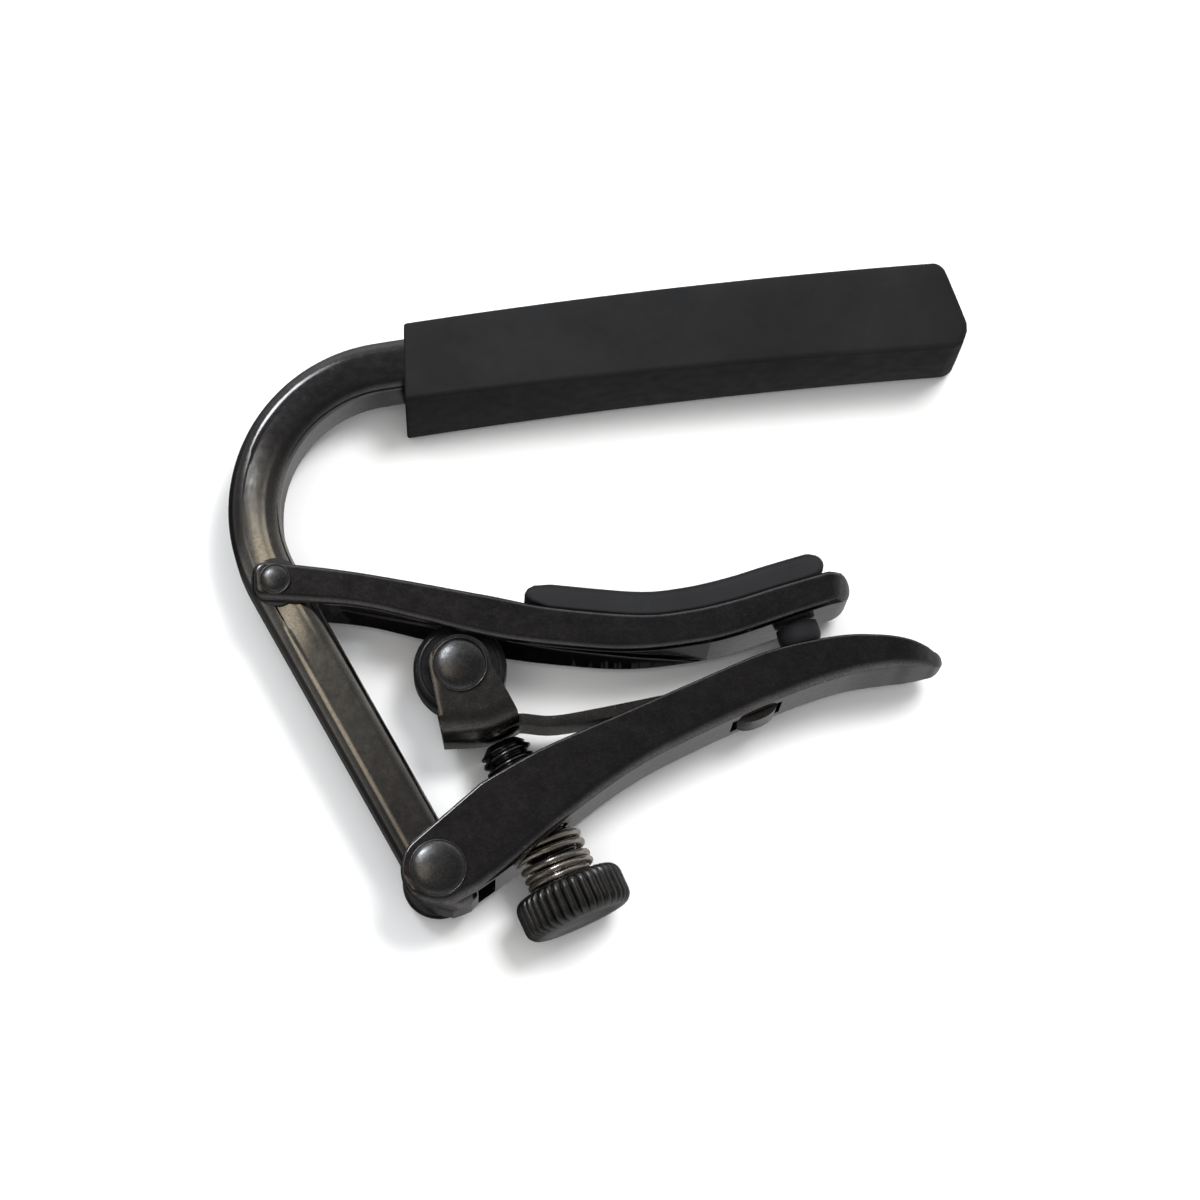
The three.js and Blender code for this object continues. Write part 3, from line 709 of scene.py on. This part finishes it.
def main_bar():
    """One bent bar, from its foot at the lever's pivot to its end inside the sleeve."""
    half = BAR_THICK / 2
    rings = []
    close = [0.0, 0.04, 0.12, 0.25, 0.45, 0.7, 1.0, 1.4, 1.9, 2.5, 3.2]
    foot = BAR_TAIL - np.concatenate([close, np.linspace(4, 38.5, 36)])
    shank_length = np.linalg.norm(LEVER_PIVOT - ARM_PIVOT)
    for along in foot[foot > BEND_START - shank_length]:
        from_end = BAR_TAIL - along
        low = np.interp(from_end, [0, 0.3, 1.2], [1.4 - half, 0.4 - half, -half])
        high = np.interp(from_end, [0, 0.2, 1.3, 3.0], [1.75 - half, 0.6, half - 1, half])
        rim = BAR_EDGE - min(from_end, BAR_EDGE)
        wide = BAR_HALF - BAR_EDGE + math.sqrt(BAR_EDGE**2 - rim**2)
        centre = LEVER_PIVOT + SHANK * along
        drawn = np.interp(shank_length + along, [0, 3, 7, 12], [1.0, 0.85, 0.2, 0.0])
        ring = bar_section(0, low, high, max(wide, 2.9), drawn, 0.03 * drawn)
        rings.append([(*(centre - SHANK_IN * h), z) for h, z in ring])
    start = math.degrees(math.atan2(-SHANK_IN[1], -SHANK_IN[0])) % 360
    end = math.degrees(math.atan2(ARCH_NORMAL[1], ARCH_NORMAL[0]))
    for degrees in np.linspace(start, end, 45):
        angle = math.radians(degrees)
        out = np.array([math.cos(angle), math.sin(angle)])
        drawn = np.interp(degrees, [120, 150, 170, 185], [0.0, 0.12, 0.75, 1.0])
        rings.append([(*(BEND_CENTRE + out * (BEND_RADIUS + h)), z) for h, z in bar_section(drawn=drawn)])
    for distance in np.concatenate([np.linspace(1.5, BAR_LENGTH - 0.5, 30), [BAR_LENGTH]]):
        shrink = -0.5 if distance == BAR_LENGTH else 0.0
        rings.append([(*on_arch(distance, h), z) for h, z in bar_section(shrink)])
    bar = loft("main_bar", [np.array(ring) for ring in rings])
    bored(bar, ARM_PIVOT, ARM_BORE)
    bored(bar, LEVER_PIVOT, LEVER_BORE)
    return placed(bar, "frame_bar", "black_chrome", BAR_CHROME, "main_bar")


def string_sleeve():
    """A thick rubber tube: a cavity that fits the bar, a lip, and a rounded outside."""
    end = SLEEVE_START + SLEEVE_LENGTH

    def left(height):
        return SLEEVE_START - 1.1 + 0.14 * (height - SLEEVE_BOTTOM)

    def right(height):
        heights = [SLEEVE_BOTTOM + rise for rise in (0, 0.7, 2.2, 3.1)] + [SLEEVE_TOP - 0.9, SLEEVE_TOP]
        places = [end - 1.5, end - 0.7, end - 0.05, end, end - 1.75, end - 2.2]
        return np.interp(height, heights, places)

    def outside(inset, share=0.0):
        low = max(0.7 - inset, 0.2)
        shape = section(
            SLEEVE_BOTTOM + inset + 0.3,
            SLEEVE_TOP - inset - 0.03,
            SLEEVE_HALF - 0.06 - inset,
            (max(2.5 - inset, 0.3), max(1.1 - inset, 0.3)),
            (low, low),
            (0.06, 0.35, 0.06),
        )
        heights, depths = shape.T
        lift = 1.2 * (1 - share) ** 1.3 * np.clip((1 + depths / SLEEVE_HALF) / 2, 0, 1)
        shape[:, 0] += lift * np.clip((-2.5 - heights) / 3.5, 0, 1)
        return shape

    def ring(profile, distance):
        return np.array([(*on_arch(d, h), z) for (h, z), d in zip(profile, distance)])

    cavity = bar_section(0.07)
    rings = [ring(bar_section(-0.6), np.full(len(cavity), BAR_LENGTH + 0.4))]
    rings += [ring(cavity, np.full(len(cavity), d)) for d in (BAR_LENGTH + 0.3, 40.0, 20.0, 6.0)]
    rings.append(ring(cavity, left(cavity[:, 0]) + 0.35))
    lip = bar_section(0.3)
    rings.append(ring(lip, left(lip[:, 0]) + 0.02))
    round_edge = 0.3
    for turn in np.radians([90, 65, 40, 20, 0]):
        profile = outside(round_edge * (1 - math.cos(turn)))
        rings.append(ring(profile, left(profile[:, 0]) + round_edge * (1 - math.sin(turn))))
    for share in np.linspace(0.03, 0.97, 44):
        body = outside(0, share)
        rings.append(ring(body, left(body[:, 0]) * (1 - share) + right(body[:, 0]) * share))
    round_edge = 0.8
    for turn in np.radians([0, 18, 36, 54, 72, 90]):
        profile = outside(round_edge * (1 - math.cos(turn)), 1.0)
        rings.append(ring(profile, right(profile[:, 0]) - round_edge * (1 - math.sin(turn))))
    for inset, bulge in ((1.8, 0.03), (2.6, 0.05)):
        profile = outside(inset, 1.0)
        rings.append(ring(profile, right(profile[:, 0]) + bulge))
    sleeve = loft("string_sleeve", rings)
    return placed(sleeve, "frame_bar", "sleeve_rubber", SLEEVE_RUBBER, "string_sleeve", smooth_degrees=60)


# ---- the arm, its pad and its bumper ---------------------------------------------------
ARM_TOP = [(-35.6, 3.9), (-26, 2.85), (-12.5, 0.5), (-5.5, -0.8), (3.8, -1.55),
           (9, -1.1), (14, 0.05), (19, 1.65), (24.3, 3.25)]
ARM_BOTTOM = [(25.5, 0), (21.5, -1.3), (14, -3.9), (9, -4.95), (3.8, -5.5),
              (-1.5, -5.35), (-10.5, -4.35), (-19, -2.35), (-26, -0.85), (-35.6, -0.2)]
GROOVE_RUNOUT = [(-0.5, -3.65), (3.8, -4.05), (7.4, -4.25), (10, -4.4), (12.6, -4.5)]


def tapering(tip, nose):
    """The share of the width that is left towards a rounded tip."""
    def share(x):
        past = np.clip((x - (tip - nose)) / nose, 0, 0.999)
        return (1 - past**2.2) ** 0.47
    return share


def lower_arm():
    end_x, top_corner, low_corner = -36.85, (-35.6, 2.65), (-35.6, 1.05)
    tip = (25.1, 1.65)
    top_line, low_line = through(ARM_TOP, 90), through(ARM_BOTTOM, 90)[::-1]
    top = joined([(end_x, 1.95)], arc(top_corner, 1.25, 180, 95), top_line, arc(tip, 1.7, 68, 8))
    bottom = joined([(end_x, 1.75)], arc(low_corner, 1.25, 180, 265), low_line, arc(tip, 1.7, -60, 0))
    top, bottom, rims = evenly(top, 150), evenly(bottom, 150), (0.5, 0.95)
    arm = slab("lower_arm", top, bottom, -ARM_HALF, ARM_HALF, rims, tapering(27.1, 3.2))
    along = unit(np.array([1, -0.14]))
    carved(arm, prism("clevis", strip(ARM_PIVOT, along, -8, CLEVIS_END, -8, 8), -CHANNEL_HALF, CHANNEL_HALF))
    roof = through(joined(beside(np.array(ARM_TOP[1:4], float), -GROOVE_ROOF), GROOVE_RUNOUT), 60)
    groove_top = joined([(-30, roof[0][1] + 0.5)], roof)
    groove_low = np.column_stack([groove_top[:, 0], np.full(len(groove_top), -10.0)])
    carved(arm, slab("groove", groove_top, groove_low, -CHANNEL_HALF, CHANNEL_HALF, (0.4, 0.0)))
    bored(arm, ARM_PIVOT, ARM_BORE)
    eased(arm, 0.18)
    return placed(arm, "arm", "black_chrome", CHROME, "lower_arm")


def saddle_pad():
    """A rubber pad moulded to the arm's hollow, with a soft crown."""
    line = through(ARM_TOP[3:], 60)
    seat = beside(line, 0.12)
    crown = beside(line, 2.75)
    crown = crown[(crown[:, 0] > -5.6) & (crown[:, 0] < 22.2)]
    seat = seat[(seat[:, 0] > -6.4) & (seat[:, 0] < 22.6)]
    top = joined([(-8, 0.75), (-7.75, 1.35), (-7, 1.78)], crown, arc((22.6, 4.1), (1.3, 1.25), 75, 0, 8))
    bottom = joined([(-7.95, 0.45), (-7.3, -0.05)], seat, [(23.3, 3.1), (23.8, 3.55)])
    top, bottom = evenly(top, 90), evenly(bottom, 90)
    pad = slab("saddle_pad", top, bottom, -PAD_HALF, PAD_HALF, (1.0, 0.25), rim_steps=7)
    placed(pad, "arm", "pad_rubber", PAD_RUBBER, "saddle_pad", smooth_degrees=60)
    return pad


def bumper():
    """The rubber stop on the arm's underside that the lever closes against."""
    height = 2.3
    profile = [(0, 0), (1.2, 0.02), (1.75, 0.1), (2.1, 0.32), (2.28, 0.7), (2.33, 1.2), (2.3, 1.8),
               (2.25, height), (0, height)]
    lean = math.radians(18)
    up = Vector((-math.sin(lean), math.cos(lean), 0))
    side = Vector((math.cos(lean), math.sin(lean), 0))
    turn = Matrix((side, up.cross(side), up)).transposed().to_4x4()
    stop = lathe("bumper", profile, Matrix.Translation((21.9, -3.85, 0)) @ turn, 48)
    return placed(stop, "arm", "pad_rubber", PAD_RUBBER, "bumper", smooth_degrees=60)


# ---- the lever -------------------------------------------------------------------------
LEVER_TOP = [(-12.5, -19.8), (-6, -16.05), (3, -12), (11, -8.4), (16, -6.2), (20, -4.9), (25.5, -3.8),
             (29.5, -3.68), (32.5, -4.0), (34.6, -4.6), (35.8, -5.2), (38, -6.4)]
LEVER_BOTTOM = [(38, -6.2), (35.6, -6.65), (33.2, -7.0), (31, -7.2), (26, -8.1), (19, -10.6),
                (10.5, -14.5), (3.5, -18.3), (-3.5, -23.5), (-9, -28.3), (-12.6, -31)]


def lever():
    radius = 3.9
    nose_start = 35.6
    top_line = through(LEVER_TOP, 120)
    low_line = through(LEVER_BOTTOM, 120)[::-1]
    top_line = top_line[top_line[:, 0] < nose_start]
    low_line = low_line[low_line[:, 0] < nose_start]
    nose_low, nose_high = low_line[-1][1], top_line[-1][1]
    nose = (nose_start, (nose_low + nose_high) / 2)
    nose_size = (1.1, (nose_high - nose_low) / 2)
    top = joined(arc(LEVER_PIVOT, radius, 221, 133, 24), top_line, arc(nose, nose_size, 80, 6))
    bottom = joined(arc(LEVER_PIVOT, radius, 223, 300, 20), low_line, arc(nose, nose_size, -80, -2))
    top, bottom, rims = evenly(top, 190), evenly(bottom, 190), (0.32, 1.25)
    body = slab("lever", top, bottom, -LEVER_HALF, LEVER_HALF, rims, tapering(36.8, 6.5))

    floor = through(beside(np.array(LEVER_BOTTOM, float), -WEB_THICK), 60)
    floor = floor[(floor[:, 0] < 19.8) & (floor[:, 0] > -9.8)][::-1]
    channel_low = joined([(-26, -36), (-13, -36), (-11.2, -30.4)], floor, [(19.3, -8.6)])
    level = np.column_stack([channel_low[2:, 0], np.zeros(len(channel_low) - 2)])
    channel_top = joined([(-26, 0), (-13, 0)], level)
    channel = slab("channel", channel_top, channel_low, -CHANNEL_HALF, CHANNEL_HALF, (0.0, 0.45))
    boss = prism("boss", strip(SCREW_TIP, SCREW_AXIS, 7.6, 16, -4.9, 4.9), -5, 5)
    carved(channel, boss)
    carved(body, channel)
    left, right = -SLOT_LENGTH / 2 - SLOT_SPARE_LEFT, SLOT_LENGTH / 2 + SLOT_SPARE_RIGHT
    slot = strip(SLOT_CENTRE, OUT_OF_SLOT, -2.5, 2, left, right)
    carved(body, prism("slot", slot, -TAIL_HALF - 0.3, TAIL_HALF + 0.3))
    for bore, start in ((SCREW_RADIUS + 0.12, 0.0), (SPRING_RADIUS + SPRING_WIRE + 0.3, SPRING_SEAT)):
        drill = [(0, 0), (bore, 0), (bore, 20 - start), (0, 20 - start)]
        carved(body, lathe("drill", drill, on_screw(start)))
    bored(body, LEVER_PIVOT, LEVER_BORE)
    eased(body, 0.16)
    return placed(body, "lever", "black_chrome", CHROME, "lever")


# ---- the roller and its bracket --------------------------------------------------------
def rolled_edge(start, end):
    """A cutter for the shallow slope that punching leaves along the near cheek's left edge."""
    wide, deep, beyond = 0.34, 0.1, 1.0
    inward = unit(np.array([start[1] - end[1], end[0] - start[0]]))
    slope = [(wide, 0.0), (-beyond, -deep * (wide + beyond) / wide), (-beyond, beyond), (wide, beyond)]
    rings = [[(*(at + inward * across), FORK_HALF + depth) for across, depth in slope] for at in (start, end)]
    return loft("rolled_edge", np.array(rings))


def roller_bracket():
    """Folded sheet: a fork round the roller, and a tail that hooks into the lever's slot."""
    base = through([(-18.5, -14.45), (-16.4, -14.25), (-11.9, -13.9), (-8.5, -12.45), (-7.5, -12.0)], 24)
    under = beside(base, -SHEET / 2 - FOLD_DROP)
    travel = np.gradient(base, axis=0)
    rise, inner = 14.0, FOLD_RADIUS - SHEET
    fold = joined(
        [(rise, -FORK_HALF)],
        arc((FOLD_RADIUS, -FORK_HALF + FOLD_RADIUS), FOLD_RADIUS, 270, 180, 8),
        arc((FOLD_RADIUS, FORK_HALF - FOLD_RADIUS), FOLD_RADIUS, 180, 90, 8),
        [(rise, FORK_HALF), (rise, FORK_HALF - SHEET)],
        arc((FOLD_RADIUS, FORK_HALF - SHEET - inner), inner, 90, 180, 5),
        arc((FOLD_RADIUS, -FORK_HALF + SHEET + inner), inner, 180, 270, 5),
        [(rise, -FORK_HALF + SHEET)],
    )
    rings = []
    for foot, direction in zip(under, travel):
        across = unit(np.array([-direction[1], direction[0]]))
        up = np.array([0.0, 1.0]) * 0.5 + across * 0.5
        up /= up @ across
        rings.append(np.array([(*(foot + up * h), z) for h, z in fold]))
    fork = loft("roller_bracket", rings)
    cheeks = joined(
        [(-16.3, -15.6), (-8.35, -15.6), (-8.5, -12.4), (-8.7, -11.6), (-11.35, -6.9)],
        arc(ROLLER_CENTRE, 3.3, 4, 178, 30),
        [(-17.0, -12.0), (-16.85, -12.6)],
    )
    carved(fork, prism("cheeks", cheeks, -FORK_HALF - 1, FORK_HALF + 1), "INTERSECT")
    # The bump that shows in the lever's slot, as (along the slot, out of it).
    hook = [(-4.2, -4), (-2.6, -3.2), (-1.92, -1.7), (-1.88, -0.85), (-1.62, -0.25), (-0.95, 0.08), (0, 0.18),
            (0.95, 0.08), (1.62, -0.25), (1.88, -0.85), (1.92, -1.7), (1.92, -2.6)]
    hook = [SLOT_CENTRE + ALONG_SLOT * a + OUT_OF_SLOT * o for a, o in hook]
    spine = [(-10.5, -13.3), (-8.5, -12.45), (-5, -12.65), (0, -11.8), (9.5, -9.8)]
    tail_line = through(joined(spine, hook), 260)
    upper, lower = beside(tail_line, SHEET / 2), beside(tail_line, -SHEET / 2)
    tail = slab("tail", upper, lower, -TAIL_HALF, TAIL_HALF)
    carved(fork, tail, "UNION")
    bored(fork, ROLLER_CENTRE, ROLLER_BORE)
    carved(fork, rolled_edge(np.array([-18.25, -6.1]), np.array([-16.95, -12.3])))
    eased(fork, 0.12)
    return placed(fork, "bracket", "black_chrome", BRACKET_CHROME, "roller_bracket")


def rivet(name, centre, shank, head, grip, height, body):
    """A rivet with a satin dome and a thin bead round each head."""
    bead = 0.2
    upper = [(0, grip + height)]
    for degrees in (8, 16, 26, 36, 48, 60, 72, 84):
        angle = math.radians(degrees)
        upper.append(((head - bead) * math.sin(angle), grip + 0.2 + (height - 0.2) * math.cos(angle)))
    rim = arc((head - bead / 2, grip + 0.2), bead / 2, 150, 0, 6)
    upper += [*map(tuple, rim), (head, grip), (shank, grip)]
    profile = upper + [(r, -z) for r, z in upper[::-1]]
    made = lathe(name, profile, upright(centre), 72)
    return placed(made, body, "black_metal", SATIN, name, smooth_degrees=35)


def roller():
    """A nylon wheel with bevelled rims and a shallow recess in each face."""
    r, w, bore = 4.98, 2.5, 2.25
    half = [(bore, w - 0.15), (bore + 0.15, w), (3.3, w), (3.4, w - 0.12), (4.1, w - 0.12), (4.2, w),
            (r - 0.62, w), (r - 0.5, w - 0.05), (r - 0.06, w - 0.5), (r, w - 0.65), (r, 0.8)]
    profile = half + [(x, -z) for x, z in half[::-1]]
    made = lathe("roller", profile, upright(ROLLER_CENTRE), 96)
    return placed(made, "roller", "roller_nylon", NYLON, "roller")


def ring(name, centre, inner, outer, low, high, body, slot, material, ease=0.08):
    """A plain washer or bush with broken corners."""
    corners = [(inner, low + ease), (inner + ease, low), (outer - ease, low), (outer, low + ease),
               (outer, high - ease), (outer - ease, high), (inner + ease, high), (inner, high - ease)]
    made = lathe(name, corners, upright(centre), 64)
    return placed(made, body, slot, material, name)


# ---- the adjusting screw -----------------------------------------------------------------
def adjusting_screw():
    """A screw with a true helical thread and a chamfered tip, which stays clear of the drawn fold."""
    sides, rows = 56, 10
    step = PITCH / rows
    depth = 0.5 * PITCH
    crest = np.array([0.0, 0.05, 0.3, 0.62, 0.92, 1.0, 1.0, 0.85, 0.52, 0.2])
    count = int((SCREW_LENGTH + 4) / step)
    points = []
    for j in range(count + rows + 1):
        for i in range(sides):
            height = (j + i * rows / sides) * step - 2
            tip_limit = 1.7 + 1.1 * max(height - FOLD_DROP, 0)
            radius = min(SCREW_RADIUS - depth * (1 - crest[j % rows]), tip_limit)
            turn = 2 * math.pi * i / sides
            points.append((radius * math.cos(turn), radius * math.sin(turn), height))
    faces = []
    for j in range(count):
        for i in range(sides):
            near, far = j * sides + i, (j + 1) * sides + i
            if i < sides - 1:
                faces.append((near, near + 1, far + 1, far))
            else:
                faces.append((near, (j + rows) * sides, (j + 1 + rows) * sides, far))
    screw = mesh_object("adjusting_screw", points, faces)
    work = bmesh.new()
    work.from_mesh(screw.data)
    for height, outward in ((FOLD_DROP, -1), (KNOB_FOOT, 1)):
        everything = [*work.verts, *work.edges, *work.faces]
        plane = {"plane_co": (0, 0, height), "plane_no": (0, 0, outward)}
        cut = bmesh.ops.bisect_plane(work, geom=everything, clear_outer=True, **plane)
        rim = [e for e in cut["geom_cut"] if isinstance(e, bmesh.types.BMEdge)]
        bmesh.ops.edgeloop_fill(work, edges=rim)
    loose = [v for v in work.verts if not v.link_faces]
    bmesh.ops.delete(work, geom=loose, context="VERTS")
    bmesh.ops.recalc_face_normals(work, faces=work.faces)
    work.to_mesh(screw.data)
    work.free()
    screw.data.transform(on_screw(0))
    return placed(screw, "thumbscrew", "black_chrome", CHROME, "adjusting_screw", smooth_degrees=50)


def screw_knob():
    """A thumb knob with rounded ridges that run out over its shoulders."""
    full, length, shoulder = KNOB_RADIUS, KNOB_LENGTH, 1.25
    profile = [(0, 0), (2.6, 0), (full - shoulder - 0.25, 0)]
    for degrees in (10, 25, 40, 55, 70, 90):
        angle = math.radians(degrees)
        profile.append((full - shoulder * (1 - math.sin(angle)), shoulder * (1 - math.cos(angle))))
    profile += [(full, 1.9), (full, 2.6)]
    profile += [(r, length - z) for r, z in profile[:2:-1] if z < 1.8]
    profile += [(full - shoulder - 0.3, length), (3.5, length), (3.2, length - 0.12), (0, length - 0.12)]

    def ridged(radius, turn):
        share = np.clip((radius - (full - shoulder - 0.1)) / shoulder, 0, 1)
        valley = 1 - np.abs(np.sin(KNOB_RIDGES / 2 * turn)) ** 0.75
        return radius - 0.36 * share * valley

    knob = lathe("screw_knob", profile, on_screw(KNOB_FOOT), KNOB_RIDGES * 10, ridged)
    return placed(knob, "thumbscrew", "black_metal", KNOB_BLACK, "screw_knob", smooth_degrees=50)


def screw_spring():
    """A wire spring, close wound where it rests on the knob."""
    wire_sides, per_turn = 14, 40
    turns = [0, 1, 2, 3, 4, 4.7]
    heights = [0.42, 1.2, 2.0, 3.35, 4.35, 4.9]
    count = int(turns[-1] * per_turn)
    line = []
    for k in range(count + 1):
        turn = k / per_turn
        height = np.interp(turn, turns, heights)
        angle = 2 * math.pi * turn + 0.6
        line.append((SPRING_RADIUS * math.cos(angle), SPRING_RADIUS * math.sin(angle), -height))
    line = np.array(line)
    travel = np.gradient(line, axis=0)
    travel /= np.linalg.norm(travel, axis=1)[:, None]
    rings = []
    for k, (centre, forward) in enumerate(zip(line, travel)):
        out = np.array([centre[0], centre[1], 0]) / SPRING_RADIUS
        side = np.cross(forward, out)
        radius = SPRING_WIRE * (0.72 if k in (0, count) else 1.0)
        turn = np.linspace(0, 2 * math.pi, wire_sides, endpoint=False)
        rings.append(np.array([centre + radius * (out * math.cos(t) + side * math.sin(t)) for t in turn]))
    spring = loft("screw_spring", rings)
    spring.data.transform(on_screw(KNOB_FOOT))
    placed(spring, None, "spring_wire", WIRE, "screw_spring", smooth_degrees=60)
    applied(spring)
    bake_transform(spring)
    return spring


# ---- the whole capo ------------------------------------------------------------------------
camera()
studio()
main_bar()
string_sleeve()
lower_arm()
saddle_pad()
bumper()
rivet("arm_rivet", ARM_PIVOT, 1.2, 1.65, 5.7, 0.6, "frame_bar")
lever()
rivet("lever_rivet", LEVER_PIVOT, 2.0, 3.02, 6.1, 0.8, "frame_bar")
roller_bracket()
rivet("roller_rivet", ROLLER_CENTRE, 1.6, 2.95, 4.3, 0.9, "bracket")
roller()
ring("roller_bushing", ROLLER_CENTRE, 1.8, 2.1, -2.5, 2.5, "bracket", "bushing_bronze", BRONZE)
for side, sign in (("near", 1), ("far", -1)):
    for place, centre, inner, outer, low, high, body in (
        ("arm", ARM_PIVOT, 1.5, 2.6, 4.1, 4.45, "frame_bar"),
        ("lever", LEVER_PIVOT, 2.3, 3.6, 4.1, 4.45, "frame_bar"),
        ("roller", ROLLER_CENTRE, 1.9, 3.0, 2.6, 2.9, "bracket"),
    ):
        faces = sorted((sign * low, sign * high))
        ring(f"{place}_washer_{side}", centre, inner, outer, *faces, body, "washer_nylon", WASHER_NYLON)
adjusting_screw()
screw_knob()
screw_spring()
